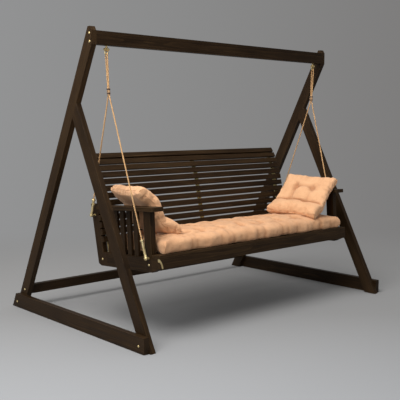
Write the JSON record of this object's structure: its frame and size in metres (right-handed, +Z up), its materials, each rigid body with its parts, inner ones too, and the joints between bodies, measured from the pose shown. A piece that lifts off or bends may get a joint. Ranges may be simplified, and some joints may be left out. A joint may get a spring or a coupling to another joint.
{
  "type": "garden swing seat",
  "caption": "Garden swing: slatted bench with arms, cushion and pillows, hung on ropes from the top beam of a leaning timber A-frame stand",
  "frame": {"origin": "on the floor, at the middle of the stand's footprint", "axes": "+Z up; the bench faces -Y; +X to the right as seen by someone who looks along +Y, with the top beam along X"},
  "size_m": [2.488, 1.698, 2.042],
  "materials": {
    "timber": "dark brown stain, satin",
    "brass": "polished pale gold",
    "rope": "twisted tan rope",
    "band": "dark brown binding thread",
    "cloth": "peach tan woven cotton, matt"
  },
  "bodies": {
    "stand": {"left_post": "timber", "right_post": "timber", "left_strut": "timber", "right_strut": "timber", "left_ground_rail": "timber", "right_ground_rail": "timber", "top_beam": "timber", "rear_stretcher": "timber", "beam_bolts": "brass", "stretcher_bolts": "brass", "rail_bolts": "brass", "eye_screws": "brass"},
    "swing": {"shackles": "brass", "shackle_pins": "brass", "left_rope": "rope", "right_rope": "rope", "whippings": "rope", "whipping_bands": "band", "front_ferrules": "brass", "rear_ferrules": "brass", "ferrule_studs": "brass", "clamp_screws": "brass", "left_front_stile": "timber", "right_front_stile": "timber", "left_rear_stile": "timber", "right_rear_stile": "timber", "left_side_rail": "timber", "right_side_rail": "timber", "left_spindles": "timber", "right_spindles": "timber", "left_arm": "timber", "right_arm": "timber", "front_apron": "timber", "seat_slats": "timber", "seat_cleats": "timber", "centre_bearer": "timber", "rear_rail": "timber", "strap_blocks": "timber", "back_straps": "brass", "back_slats": "timber", "top_back_rails": "timber", "frame_bolts": "brass", "corner_strap": "brass", "seat_cushion": "cloth", "left_pillow": "cloth", "right_pillow": "cloth"}
  },
  "joints": [
    {"name": "swing_hang", "type": "hinge", "parent": "stand", "child": "swing", "pos_m": [0, -0.232, 1.9], "axis": [1, 0, 0], "range_deg": [-30, 30]}
  ]
}
